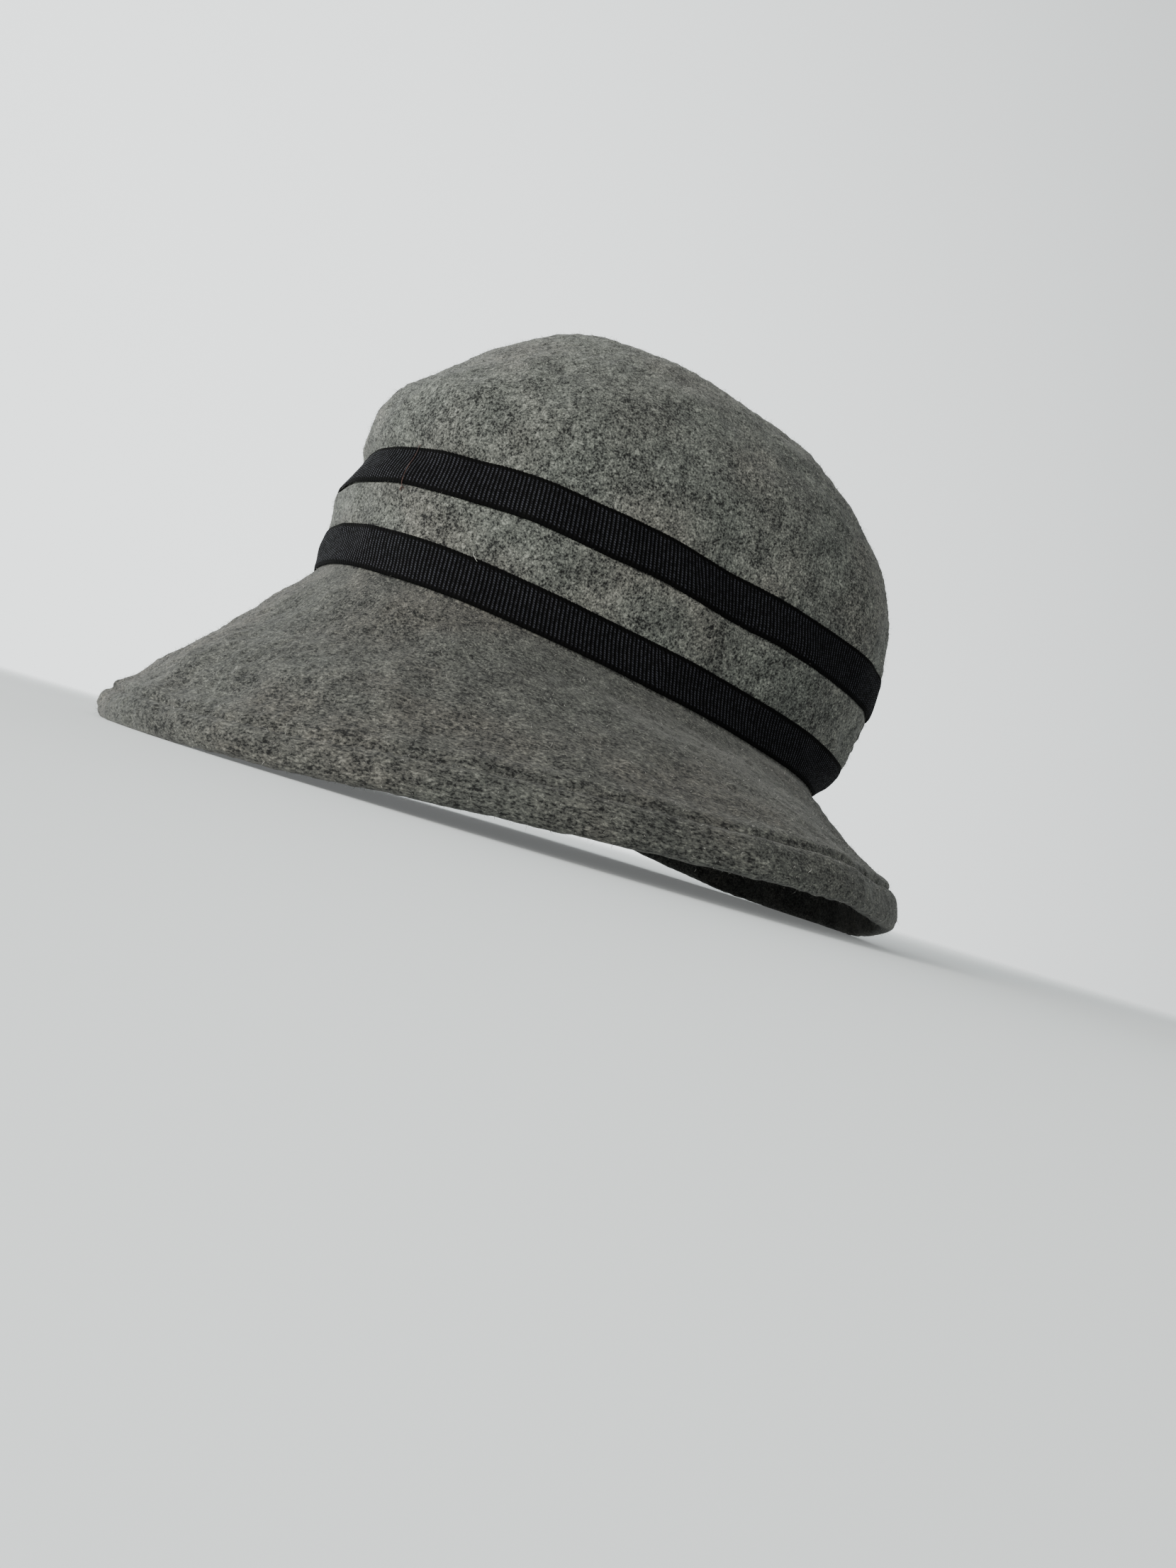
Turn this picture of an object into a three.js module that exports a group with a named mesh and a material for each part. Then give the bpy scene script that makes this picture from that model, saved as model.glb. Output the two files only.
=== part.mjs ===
import * as THREE from "three";

// A wool felt cloche hat, lying on its brim as it rests by itself on a flat surface.
// Millimetres, +Z up, with the front towards -Y and the wearer's left towards +X.
// The origin is the middle of the footprint, on the surface.
// Angles around the hat start at the front and turn towards the wearer's left.

// Stock
const FELT = 2.6;
const RIBBON_WIDTH = 15;
const RIBBON_THICKNESS = 0.8;
const FIT_GAP = 0.3;

// Brim edge from above: an oval that is widest behind its middle
const BRIM_HALF_WIDTH = 147.5;
const BRIM_FRONT = 172.5;
const BRIM_BACK = 108;
const BRIM_SQUARENESS = 2.06;
const WAIST_Y = (BRIM_FRONT - BRIM_BACK) / 2;

// Brim edge from the side: it rests at front and back, and its sides stand clear
const SIDE_LIFT = 14;
const LIFT_TOWARDS_BACK = THREE.MathUtils.degToRad(13.7);
const EDGE_PRESSED_FLAT = 1.5;

// Brim felt between its edge and the crown: it bulges as a whole, and its inner half is
// swept in while its outer half is swept out
const BRIM_BULGE = 2.8;
const BRIM_SWEEP = 1.5;
const HEM_DEPTH = 12;
const COLLAR_HEIGHT = 9;
const SHOULDER_HEIGHT = 2.7;

// Crown: the oval of its foot, its height above the foot, and how it sits on the brim
const FOOT_SIDE = 82.6;
const FOOT_FRONT = 99.4;
const FOOT_BACK = 99.8;
const CROWN_SQUARENESS = 2.26;
const CROWN_HEIGHT = 124.5;
const CROWN_TILT = THREE.MathUtils.degToRad(7.7);
const CROWN_FOOT = new THREE.Vector3(0, 14, 57);

// Wall of the crown up to its dome, a row for each zone: its length up the wall in
// millimetres and its lean outwards in degrees, at the front, the side and the back
const WALL_ZONES = [
  {
    zone: "under the lower ribbon",
    frontLength: RIBBON_WIDTH, sideLength: RIBBON_WIDTH, backLength: RIBBON_WIDTH,
    frontLean: 5, sideLean: -11, backLean: 29,
  },
  {
    zone: "felt between the ribbons",
    frontLength: 14, sideLength: 18, backLength: 21,
    frontLean: 11, sideLean: 8, backLean: 3,
  },
  {
    zone: "under the upper ribbon",
    frontLength: RIBBON_WIDTH, sideLength: RIBBON_WIDTH, backLength: RIBBON_WIDTH,
    frontLean: -15, sideLean: -9, backLean: 4,
  },
];

// Dome: how far its top lies towards the front. Its dents and soft shoulders have a row each:
// their middle in degrees around the hat and as a share of the dome's rise, their half
// widths, and how far they push the felt out in millimetres.
const DOME_TOP_SHIFT = -4.4;
const DENTS = [
  { place: "front shoulder", angle: 0, halfAngle: 65, rise: 0.22, halfRise: 0.19, push: 5.8 },
  { place: "left shoulder of the top", angle: 85, halfAngle: 35, rise: 0.88, halfRise: 0.08, push: 2.3 },
  { place: "right shoulder of the top", angle: 275, halfAngle: 35, rise: 0.88, halfRise: 0.08, push: 2.3 },
  { place: "back of the top", angle: 180, halfAngle: 60, rise: 0.87, halfRise: 0.12, push: 1 },
];
const DENT_FADE = 0.05;

// How finely the curves are stepped
const STEPS_AROUND = 60;
const WALL_STEPS = [0.2, 0.6, 1, 1.33, 1.67, 2, 2.33, 2.67, 3];
const DOME_STEPS = 9;
const BRIM_STEPS = 9;
const FOLD_STEPS = 6;
const SLOPE_STEP = 1e-3;

const WALL_TOP = WALL_ZONES.length;
const UP = new THREE.Vector3(0, 0, 1);
const ACROSS = new THREE.Vector3(1, 0, 0);

// Point of an oval whose half lengths differ at the side, the front and the back
function ovalPoint(angle, side, front, back, squareness) {
  const sine = Math.sin(angle);
  const cosine = Math.cos(angle);
  const power = 2 / squareness;
  const x = side * Math.sign(sine) * Math.abs(sine) ** power;
  const reach = cosine > 0 ? front : back;
  const y = -reach * Math.sign(cosine) * Math.abs(cosine) ** power;
  return new THREE.Vector3(x, y, 0);
}

// Outward direction, in the plane of the foot oval
function footOutward(angle) {
  const point = ovalPoint(angle, FOOT_SIDE, FOOT_FRONT, FOOT_BACK, CROWN_SQUARENESS);
  const reach = Math.cos(angle) > 0 ? FOOT_FRONT : FOOT_BACK;
  return new THREE.Vector3(point.x / FOOT_SIDE ** 2, point.y / reach ** 2, 0).normalize();
}

// Value between the one at the side and the one at the front or the back
function aroundHat(angle, front, side, back) {
  const share = Math.cos(angle) ** 2;
  const end = Math.cos(angle) > 0 ? front : back;
  return side * (1 - share) + end * share;
}

// Distance outwards and upwards from the foot to the lower end of a wall zone
function wallStation(angle, count) {
  const station = new THREE.Vector2(0, 0);
  for (const row of WALL_ZONES.slice(0, count)) {
    const length = aroundHat(angle, row.frontLength, row.sideLength, row.backLength);
    const degrees = aroundHat(angle, row.frontLean, row.sideLean, row.backLean);
    const lean = THREE.MathUtils.degToRad(degrees);
    station.x += length * Math.sin(lean);
    station.y += length * Math.cos(lean);
  }
  return station;
}

// Direction of the wall's profile at a station, upright where the dome starts
function wallTangent(angle, index) {
  const here = wallStation(angle, index);
  if (index === WALL_TOP) {
    return new THREE.Vector2(0, here.y - wallStation(angle, index - 1).y);
  }
  const above = wallStation(angle, index + 1);
  if (index === 0) {
    return above.sub(here);
  }
  return above.sub(wallStation(angle, index - 1)).multiplyScalar(0.5);
}

// Smooth profile of the wall, with height counted in zones: a cubic between its stations
function wallProfile(angle, height) {
  const index = Math.min(Math.floor(height), WALL_TOP - 1);
  const t = height - index;
  const low = wallStation(angle, index);
  const high = wallStation(angle, index + 1);
  const lowTangent = wallTangent(angle, index);
  const highTangent = wallTangent(angle, index + 1);
  return low.multiplyScalar(2 * t ** 3 - 3 * t ** 2 + 1)
    .addScaledVector(high, 3 * t ** 2 - 2 * t ** 3)
    .addScaledVector(lowTangent, t ** 3 - 2 * t ** 2 + t)
    .addScaledVector(highTangent, t ** 3 - t ** 2);
}

// Outside of the crown before its dents. Height 0 to 3 is the wall, 3 to 4 the dome.
function plainCrownPoint(angle, height) {
  const profile = wallProfile(angle, Math.min(height, WALL_TOP));
  const point = ovalPoint(angle, FOOT_SIDE, FOOT_FRONT, FOOT_BACK, CROWN_SQUARENESS);
  point.addScaledVector(footOutward(angle), profile.x);
  if (height <= WALL_TOP) {
    point.z = profile.y;
    return point;
  }
  const turn = (height - WALL_TOP) * Math.PI / 2;
  const rise = Math.sin(turn);
  point.multiplyScalar(Math.cos(turn));
  point.y += DOME_TOP_SHIFT * rise ** 2;
  point.z = profile.y + (CROWN_HEIGHT - profile.y) * rise;
  return point;
}

function crownNormal(angle, height) {
  const middle = Math.min(Math.max(height, SLOPE_STEP), WALL_TOP + 1 - 4 * SLOPE_STEP);
  const around = plainCrownPoint(angle + SLOPE_STEP, middle);
  around.sub(plainCrownPoint(angle - SLOPE_STEP, middle));
  const upwards = plainCrownPoint(angle, middle + SLOPE_STEP);
  upwards.sub(plainCrownPoint(angle, middle - SLOPE_STEP));
  return around.cross(upwards).normalize();
}

// How far the dents move the dome outwards
function dentPush(angle, height) {
  if (height <= WALL_TOP) {
    return 0;
  }
  const turn = (height - WALL_TOP) * Math.PI / 2;
  const rise = Math.sin(turn);
  let push = 0;
  for (const dent of DENTS) {
    const away = angle - THREE.MathUtils.degToRad(dent.angle);
    const turned = Math.acos(Math.cos(away)) / THREE.MathUtils.degToRad(dent.halfAngle);
    const raised = (rise - dent.rise) / dent.halfRise;
    push += dent.push * Math.exp(-(turned ** 2) - raised ** 2);
  }
  return push * Math.min(1, rise / DENT_FADE) * Math.cos(turn);
}

// Point of the crown, a distance out from its outside, in the crown's own frame
function crownPoint(angle, height, outwards) {
  const point = plainCrownPoint(angle, height);
  const distance = outwards + dentPush(angle, height);
  return point.addScaledVector(crownNormal(angle, height), distance);
}

// The same point in the hat's frame
function crownPointOnHat(angle, height, outwards) {
  return crownPoint(angle, height, outwards).applyAxisAngle(ACROSS, -CROWN_TILT).add(CROWN_FOOT);
}

// Lowest line of the brim
function edgePoint(angle) {
  const point = ovalPoint(angle, BRIM_HALF_WIDTH, BRIM_FRONT, BRIM_BACK, BRIM_SQUARENESS);
  const turned = angle - LIFT_TOWARDS_BACK * Math.sin(angle);
  point.y += WAIST_Y;
  point.z = SIDE_LIFT * Math.sin(turned) ** 2 - EDGE_PRESSED_FLAT;
  return point;
}

// Upper face of the brim, from the crown at 0 to the edge at 1
function brimPoint(angle, way) {
  const inner = crownPointOnHat(angle, 0, 0);
  const slant = edgePoint(angle).sub(inner);
  const outwards = UP.clone().addScaledVector(slant, -slant.z / slant.lengthSq()).normalize();
  const swell = BRIM_BULGE * Math.sin(Math.PI * way) - BRIM_SWEEP * Math.sin(2 * Math.PI * way);
  return inner.addScaledVector(slant, way).addScaledVector(outwards, swell);
}

function brimSlope(angle, way) {
  const slope = brimPoint(angle, way + SLOPE_STEP);
  return slope.sub(brimPoint(angle, way - SLOPE_STEP)).normalize();
}

function brimNormal(angle, way) {
  const around = brimPoint(angle + SLOPE_STEP, way);
  around.sub(brimPoint(angle - SLOPE_STEP, way));
  return brimSlope(angle, way).cross(around).normalize();
}

function brimPointBelow(angle, way, depth) {
  return brimPoint(angle, way).addScaledVector(brimNormal(angle, way), -depth);
}

// Closed section of the brim: upper face, rounded fold, hem, underside, and the collar
// that stands up inside the crown. What would lie below the surface is pressed flat on it.
function brimSection(angle) {
  const slant = edgePoint(angle).distanceTo(crownPointOnHat(angle, 0, 0));
  const foldWay = 1 - FELT / slant;
  const hemWay = 1 - HEM_DEPTH / slant;
  const section = [];
  for (let step = 0; step < BRIM_STEPS; step += 1) {
    section.push(brimPoint(angle, foldWay * step / (BRIM_STEPS - 1)));
  }
  const foldCentre = brimPointBelow(angle, foldWay, FELT);
  for (let step = 1; step < FOLD_STEPS; step += 1) {
    const turn = Math.PI * step / FOLD_STEPS;
    const point = foldCentre.clone();
    point.addScaledVector(brimNormal(angle, foldWay), FELT * Math.cos(turn));
    point.addScaledVector(brimSlope(angle, foldWay), FELT * Math.sin(turn));
    section.push(point);
  }
  section.push(brimPointBelow(angle, foldWay, 2 * FELT));
  section.push(brimPointBelow(angle, hemWay, 2 * FELT));
  for (const share of [1, 0.8, 0.6, 0.4, 0.2, 0.04]) {
    section.push(brimPointBelow(angle, hemWay * share, FELT));
  }
  const collarTop = COLLAR_HEIGHT / RIBBON_WIDTH;
  const shoulder = SHOULDER_HEIGHT / RIBBON_WIDTH;
  section.push(crownPointOnHat(angle, shoulder / 2, -2 * FELT - FIT_GAP));
  section.push(crownPointOnHat(angle, collarTop, -2 * FELT - FIT_GAP));
  section.push(crownPointOnHat(angle, collarTop, -FELT - FIT_GAP));
  section.push(crownPointOnHat(angle, shoulder, -FELT - FIT_GAP));
  section.push(crownPointOnHat(angle, shoulder, 0));
  for (const point of section) {
    point.z = Math.max(point.z, 0);
  }
  return section;
}

// Closed section of a ribbon that lies on the crown wall between two heights
function ribbonSection(angle, heights) {
  const inside = heights.map((height) => crownPoint(angle, height, FIT_GAP));
  const outside = heights.map((height) => crownPoint(angle, height, FIT_GAP + RIBBON_THICKNESS));
  return inside.reverse().concat(outside);
}

// Line of the crown wall from its top inside, round its foot, to its top outside
function crownLine(angle) {
  const heights = [...WALL_STEPS];
  for (let step = 1; step < DOME_STEPS; step += 1) {
    heights.push(WALL_TOP + step / DOME_STEPS);
  }
  const outside = heights.map((height) => crownPoint(angle, height, 0));
  const inside = heights.map((height) => crownPoint(angle, height, -FELT));
  return inside.reverse().concat(outside);
}

function stepAngles() {
  return Array.from({ length: STEPS_AROUND }, (unused, step) => 2 * Math.PI * step / STEPS_AROUND);
}

function geometryOf(points, triangles) {
  const geometry = new THREE.BufferGeometry().setFromPoints(points);
  geometry.setIndex(triangles.flat());
  geometry.computeVertexNormals();
  return geometry;
}

// Band of triangles between neighbouring sections, all the way round. Each four-sided patch
// is cut along its shorter diagonal, so that faces that lie against each other match.
function skinSections(sections, closed) {
  const points = sections.flat();
  const size = sections[0].length;
  const spans = closed ? size : size - 1;
  const triangles = [];
  sections.forEach((unused, here) => {
    const next = (here + 1) % sections.length;
    for (let low = 0; low < spans; low += 1) {
      const high = (low + 1) % size;
      const [a, b, c, d] = [here * size + low, next * size + low, next * size + high, here * size + high];
      if (points[a].distanceTo(points[c]) < points[b].distanceTo(points[d])) {
        triangles.push([a, b, c], [a, c, d]);
      } else {
        triangles.push([a, b, d], [b, c, d]);
      }
    }
  });
  return triangles;
}

// Closed ring swept through the sections
function ringGeometry(sections) {
  return geometryOf(sections.flat(), skinSections(sections, true));
}

// Shell whose lines run from an inner top to an outer top
function shellGeometry(lines, innerTop, outerTop) {
  const points = lines.flat();
  const triangles = skinSections(lines, false);
  const size = lines[0].length;
  const innerIndex = points.push(innerTop) - 1;
  const outerIndex = points.push(outerTop) - 1;
  lines.forEach((unused, here) => {
    const next = (here + 1) % lines.length;
    triangles.push([here * size, innerIndex, next * size]);
    triangles.push([here * size + size - 1, next * size + size - 1, outerIndex]);
  });
  return geometryOf(points, triangles);
}

function namedMesh(name, geometry, material) {
  const mesh = new THREE.Mesh(geometry, material);
  mesh.name = name;
  return mesh;
}

function feltMaterial() {
  return new THREE.MeshStandardMaterial({ color: 0x85837f, roughness: 0.95, metalness: 0 });
}

function grosgrainMaterial() {
  return new THREE.MeshStandardMaterial({ color: 0x0d0e13, roughness: 0.6, metalness: 0 });
}

function crownMesh() {
  const top = new THREE.Vector3(0, DOME_TOP_SHIFT, CROWN_HEIGHT);
  const insideTop = top.clone().addScaledVector(UP, -FELT);
  const lines = stepAngles().map((angle) => crownLine(angle));
  return namedMesh("crown", shellGeometry(lines, insideTop, top), feltMaterial());
}

function brimMesh() {
  const sections = stepAngles().map((angle) => brimSection(angle).reverse());
  return namedMesh("brim", ringGeometry(sections), feltMaterial());
}

function ribbonMesh(name, heights) {
  const sections = stepAngles().map((angle) => ribbonSection(angle, heights));
  return namedMesh(name, ringGeometry(sections), grosgrainMaterial());
}

const crownAndRibbons = new THREE.Group();
crownAndRibbons.rotation.x = -CROWN_TILT;
crownAndRibbons.position.copy(CROWN_FOOT);
crownAndRibbons.add(crownMesh());
crownAndRibbons.add(ribbonMesh("lower_ribbon", [0.03, 0.2, 0.6, 1]));
crownAndRibbons.add(ribbonMesh("upper_ribbon", [2, 2.33, 2.67, 3]));

const hat = new THREE.Group();
hat.add(brimMesh());
hat.add(crownAndRibbons);

export default hat;
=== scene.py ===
import bpy
import numpy as np
from mathutils import Matrix, Vector


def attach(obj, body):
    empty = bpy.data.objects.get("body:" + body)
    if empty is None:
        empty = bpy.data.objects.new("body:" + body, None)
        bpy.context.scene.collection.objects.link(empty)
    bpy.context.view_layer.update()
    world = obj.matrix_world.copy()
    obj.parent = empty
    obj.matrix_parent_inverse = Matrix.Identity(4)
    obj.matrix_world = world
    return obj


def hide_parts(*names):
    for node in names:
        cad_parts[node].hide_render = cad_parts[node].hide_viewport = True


# A cloche hat of grey wool felt with two black grosgrain ribbons, lying on its brim.
# Lengths are in millimetres until a mesh is made. +Z is up and the hat's front is towards -Y.
# Angles around the hat start at the front and turn towards the wearer's left, +X.

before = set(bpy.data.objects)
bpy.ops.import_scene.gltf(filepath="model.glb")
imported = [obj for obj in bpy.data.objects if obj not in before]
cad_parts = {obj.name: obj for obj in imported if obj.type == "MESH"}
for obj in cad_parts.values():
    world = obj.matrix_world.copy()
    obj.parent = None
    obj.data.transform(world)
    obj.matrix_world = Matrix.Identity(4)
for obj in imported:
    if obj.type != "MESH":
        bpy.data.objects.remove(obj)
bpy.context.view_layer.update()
MM = 0.001

# Stock. Along a warp thread the painted highlight, the gloss and the bump swing by WARP_DEPTH to
# each side of their middle
FELT = 2.6
RIBBON_WIDTH = 15
RIBBON_LIE = 0.15
RIBBON_THICKNESS = 0.5
RIB_PITCH = 1.4
RIB_HEIGHT = 0.26
WARP_PITCH = 0.75
WARP_DEPTH = 0.32
RIB_SKEW = np.tan(np.radians(13))
SELVEDGE = 1.2

# Brim: its edge from above and from the side, and the bulge of its felt. An oval is given by
# its reach to the side, front and back and by its squareness, where 2 is an ellipse
BRIM_EDGE = (147.5, 172.5, 108, 2.06)
WAIST_Y = 32.25
SIDE_LIFT = 14
LIFT_TOWARDS_BACK = np.radians(13.7)
EDGE_PRESSED_FLAT = 1.5
BRIM_BULGE = 2.8
BRIM_SWEEP = 1.5
HEM_PAST_STITCHES = 2.6
STITCH_LINE = (9, 4)
STITCHES = 205
COLLAR_HEIGHT = 9
SHOULDER_HEIGHT = 2.7
REST_SQUASH = 0.85
HEM_DROOP = 2.4
STITCH_LENGTH = 2.2
STITCH_THREAD = 0.34
STITCH_RINGS, STITCH_SIDES = 5, 5
STITCH_UNEVEN = (0.8, 1.15)
STITCH_SLANTS = (0.1, 0.55)
STITCH_STAND, STITCH_DIVE, STITCH_TAPER = 0.16, 0.42, 0.35
STITCH_WANDER = 0.35
THREAD_SIDES = 6
COLLAR_GAP = 0.3
COLLAR_ROWS = 8
RING_RADIUS = 125
EDGE_CROWDING = 1.35
HEM_STEP = 0.0035
UNDER_START = 0.04

# Places on the way from crown to edge, from 0 to 1, where detail and the lift at rest come in
TOP_FADE = (0.02, 0.14)
UNDER_FADE = (0.04, 0.16)
REST_FADE = (0.6, 0.96)
REST_SOFTNESS = 1

# Relief at the brim's stitch line: amounts and widths
GROOVE_DEPTH, GROOVE_BEAT, GROOVE_WIDTH = 0.8, 0.2, 0.8
VALLEY_DEPTH, VALLEY_WIDTH = 0.45, 2.6
PUCKER, PUCKER_WIDTH = 0.16, 3.4
HEM_PUFF = 0.85
RIDGE, RIDGE_AWAY, RIDGE_WIDTH = 0.3, 3.2, 1.9
HEM_SINK, SINK_WIDTH = 0.6, 0.9
DROOP_WIDTH = 7

# Unevenness of the felt, layer by layer: amount, wavelength and seed
CROWN_SWELL = [(0.45, 42, 11), (0.2, 17, 12)]
CROWN_PEBBLES = [(0.1, 5, 13), (0.07, 3.2, 14)]
INSIDE_PEBBLES = [(0.12, 6, 15)]
BRIM_SWELL = [(0.5, 45, 21), (0.2, 18, 22)]
BRIM_PEBBLES = [(0.1, 5, 23), (0.07, 3.2, 24)]
HEM_PEBBLES = [(0.08, 4, 32)]
HEM_WIDTHS = [(0.4, 14, 31)]
UNDERSIDE_PEBBLES = [(0.1, 6, 33)]
FOLD_PEBBLES = (0.1, 5, 34)
RIBBON_WANDER = {"lower_ribbon": [(0.16, 45, 41)], "upper_ribbon": [(0.16, 45, 42)]}
RIBBON_LIFT = (0.12, 30, 43)

# Loose fibres: lengths, widths (a real one is 0.02 mm, drawn coarser to show) and leans in degrees
FIBRE_LENGTHS = (1.0, 3.0)
FIBRE_WIDTHS = (0.06, 0.12)
FIBRE_LEANS = (6, 70)
FIBRE_ROOT = 0.15
FIBRE_MARGIN = 0.3
CROWN_FIBRES, BRIM_FIBRES = 16000, 17000

# Crown: the oval of its foot, its height above the foot, and how it sits on the brim
FOOT_OVAL = (82.6, 99.4, 99.8, 2.26)
CROWN_HEIGHT = 124.5
CROWN_TILT = np.radians(7.7)
CROWN_FOOT = np.array([0, 14, 57.0])
DOME_TOP_SHIFT = -4.4
WALL_TOP = 3
SLOPE_STEP = 1e-3

# Wall zones from the foot up: length and outward lean in degrees, at front, side and back
WALL_ZONES = [
    ((15, 15, 15), (5, -11, 29)),
    ((14, 18, 21), (11, 8, 3)),
    ((15, 15, 15), (-15, -9, 4)),
]

# Dents of the dome: angle and half angle in degrees, rise and half rise, push in millimetres
DENTS = [
    (0, 65, 0.22, 0.19, 5.8),
    (85, 35, 0.88, 0.08, 2.3),
    (275, 35, 0.88, 0.08, 2.3),
    (180, 60, 0.87, 0.12, 1.0),
]
DENT_FADE = 0.05

# How the soft dome differs from that, in the same columns: fuller in front, settled elsewhere
SETTLED_DOME = [
    (35, 30, 0.84, 0.11, 2.6),
    (325, 30, 0.84, 0.11, 2.6),
    (95, 38, 0.92, 0.09, -2.6),
    (265, 38, 0.92, 0.09, -2.6),
]
TOP_SETTLE, SETTLE_FROM = 2.8, 0.82

# Distances up the crown: of one zone of the wall, of the dome's arc, and of the ribbons' edges
ZONE_CLIMB = 15
DOME_CLIMB = 125
RIBBONS = {"lower_ribbon": (0.5, 15), "upper_ribbon": (30, 45)}
RIBBON_FOOT = 0.25
SCALLOP = 0.16
SELVEDGE_RIB = 0.3
ROUNDING, ROUNDING_WIDTH = 0.28, 0.45

# Relief of the crown: felt risen beside the ribbons and pressed under them, with soft edges
PUFF, PUFF_AWAY = 0.45, 2.4
PRESSED = 0.25
EDGE_SOFTNESS = 0.7
SWELL_FADE = (0.15, 0.6)
RELIEF_FADE = (0.15, 0.4)

# The nick between the ribbons: its place, its size, its slant and the lip on one side of it
NICK_ANGLE, NICK_HEIGHT = np.radians(156.8), 1.6
NICK_DEPTH, NICK_WIDTH, NICK_LENGTH = 2.0, 0.9, 4.4
NICK_RADIUS, NICK_SLANT, NICK_ZONE = 95, 4, 20
NICK_LIP, NICK_LIP_AWAY = 0.9, 1.7


def unit(vectors):
    """Each vector divided by its length."""
    return vectors / np.linalg.norm(vectors, axis=-1, keepdims=True)


def stack(x, y, z):
    """Three coordinate arrays as one array of points."""
    return np.stack(np.broadcast_arrays(x, y, z), axis=-1)


def oval(angle, side, front, back, squareness):
    """Superellipse: side times |sin|^(2/n) across, and front or back reach times |cos|^(2/n)."""
    sine, cosine = np.sin(angle), np.cos(angle)
    reach = np.where(cosine > 0, front, back)
    power = 2 / squareness
    x = side * np.sign(sine) * np.abs(sine) ** power
    return x, -reach * np.sign(cosine) * np.abs(cosine) ** power, reach


def around_hat(angle, values):
    """Side value times sin squared plus the front or back value times cos squared."""
    front, side, back = values
    share = np.cos(angle) ** 2
    return side * (1 - share) + np.where(np.cos(angle) > 0, front, back) * share


def wall_stations(angle):
    """Sums, zone by zone, of length times sin and cos of the lean: distances out and up."""
    stations = [np.zeros((2,) + angle.shape)]
    for lengths, leans in WALL_ZONES:
        length, lean = around_hat(angle, lengths), np.radians(around_hat(angle, leans))
        step = np.stack([length * np.sin(lean), length * np.cos(lean)])
        stations.append(stations[-1] + step)
    return stations


def wall_profile(angle, height):
    """Cubic Hermite curve through the stations, with half the chord of its neighbours as the
    slope at each inner one."""
    s = wall_stations(angle)
    upright = np.stack([np.zeros_like(angle), s[3][1] - s[2][1]])
    slopes = [s[1] - s[0], (s[2] - s[0]) / 2, (s[3] - s[1]) / 2, upright]
    index = np.clip(np.floor(height), 0, WALL_TOP - 1).astype(int)
    t = height - index

    def pick(values, offset):
        return np.stack([np.choose(index + offset, [v[k] for v in values]) for k in (0, 1)])

    start = pick(s, 0) * (2 * t**3 - 3 * t**2 + 1) + pick(slopes, 0) * (t**3 - 2 * t**2 + t)
    return start + pick(s, 1) * (3 * t**2 - 2 * t**3) + pick(slopes, 1) * (t**3 - t**2)


def plain_crown(angle, height):
    """Foot oval moved out by the wall profile. Past the wall it shrinks as the cosine of a
    quarter turn and rises as its sine, up to the top."""
    out, up = wall_profile(angle, np.minimum(height, WALL_TOP))
    x, y, reach = oval(angle, *FOOT_OVAL)
    outward = unit(np.stack([x / FOOT_OVAL[0] ** 2, y / reach**2], axis=-1))
    turn = np.clip(height - WALL_TOP, 0, 1) * np.pi / 2
    rise, shrink = np.sin(turn), np.cos(turn)
    x, y = (x + outward[..., 0] * out) * shrink, (y + outward[..., 1] * out) * shrink
    return stack(x, y + DOME_TOP_SHIFT * rise**2, up + (CROWN_HEIGHT - up) * rise)


def crown_normal(angle, height):
    """Cross product of the steps around and up, by central differences."""
    h = np.clip(height, SLOPE_STEP, WALL_TOP + 1 - 4 * SLOPE_STEP)
    around = plain_crown(angle + SLOPE_STEP, h) - plain_crown(angle - SLOPE_STEP, h)
    up = plain_crown(angle, h + SLOPE_STEP) - plain_crown(angle, h - SLOPE_STEP)
    return unit(np.cross(around, up))


def dent_push(angle, height, dents=DENTS):
    """Sum of Gaussian bumps in angle and rise, faded out at the wall and at the top."""
    turn = np.clip(height - WALL_TOP, 0, 1) * np.pi / 2
    rise = np.sin(turn)
    push = 0
    for middle, half_angle, level, half_rise, most in dents:
        turned = np.degrees(np.arccos(np.cos(angle - np.radians(middle)))) / half_angle
        push = push + most * np.exp(-(turned**2) - ((rise - level) / half_rise) ** 2)
    return push * np.minimum(1, rise / DENT_FADE) * np.cos(turn)


def tilt(vectors):
    """Turned about X by the crown's tilt, so that its top leans to the back."""
    cosine, sine = np.cos(CROWN_TILT), np.sin(CROWN_TILT)
    x, y, z = np.moveaxis(vectors, -1, 0)
    return stack(x, y * cosine + z * sine, z * cosine - y * sine)


def crown_point(angle, height, outwards=0.0):
    """Plain crown plus its normal times the dents and the distance asked for, then tilted and
    put on the brim."""
    distance = np.asarray(outwards) + dent_push(angle, height)
    point = plain_crown(angle, height) + crown_normal(angle, height) * distance[..., None]
    return tilt(point) + CROWN_FOOT


def brim_point(angle, way):
    """Straight line from the crown's foot to the edge, plus its normal times a half sine of
    bulge less a whole sine of sweep, and the line's length."""
    inner = crown_point(angle, np.zeros_like(angle))
    x, y, _ = oval(angle, *BRIM_EDGE)
    turned = angle - LIFT_TOWARDS_BACK * np.sin(angle)
    edge = stack(x, y + WAIST_Y, SIDE_LIFT * np.sin(turned) ** 2 - EDGE_PRESSED_FLAT)
    slant = edge - inner
    length = np.linalg.norm(slant, axis=-1)
    normal = np.array([0, 0, 1]) - slant * (slant[..., 2] / length**2)[..., None]
    swell = BRIM_BULGE * np.sin(np.pi * way) - BRIM_SWEEP * np.sin(2 * np.pi * way)
    return inner + slant * way[..., None] + unit(normal) * swell[..., None], length


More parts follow.
